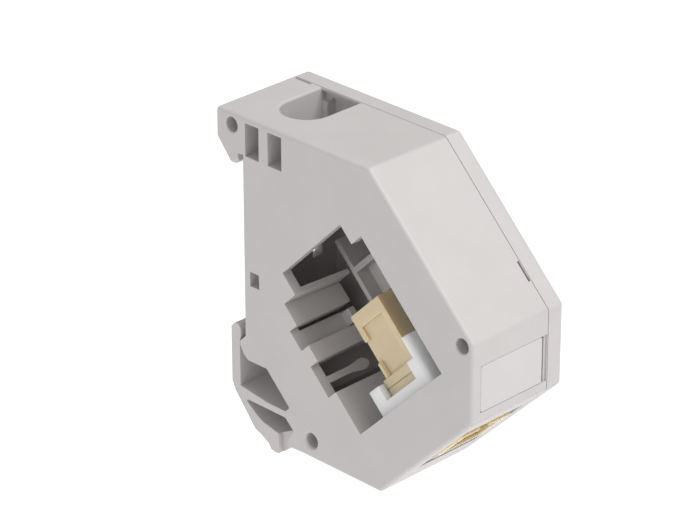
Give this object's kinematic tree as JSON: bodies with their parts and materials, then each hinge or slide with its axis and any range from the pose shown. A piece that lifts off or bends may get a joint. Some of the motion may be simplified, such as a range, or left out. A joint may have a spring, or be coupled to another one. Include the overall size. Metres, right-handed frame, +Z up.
{
  "type": "rail-mounted keystone coupler holder",
  "caption": "Angled plastic holder that clips on a mounting rail, with a side window that shows a beige SC simplex coupler in a white keystone frame.",
  "frame": {"origin": "at mid width, on the rail's front plane (the flat back face), at the height of the rail's centre line", "axes": "+X along the rail towards the closed side cover, +Y back towards the rail, +Z up; the port faces down and forward at 45 degrees"},
  "size_m": [0.0234, 0.0637, 0.0655],
  "materials": {
    "case": "fine matt grain, warm light grey",
    "cover": "fine matt grain, warm light grey",
    "label": "smooth pale plate",
    "frame_white": "smooth satin white",
    "coupler_beige": "satin beige",
    "insert_ivory": "satin ivory",
    "sleeve_bronze": "polished bronze"
  },
  "bodies": {
    "root": {"housing": "case", "side_cover": "cover", "label_plate": "label", "keystone_frame": "frame_white", "coupler_front": "coupler_beige", "coupler_rear": "coupler_beige", "latch_insert_front": "insert_ivory", "latch_insert_rear": "insert_ivory", "alignment_sleeve": "sleeve_bronze"}
  },
  "joints": []
}
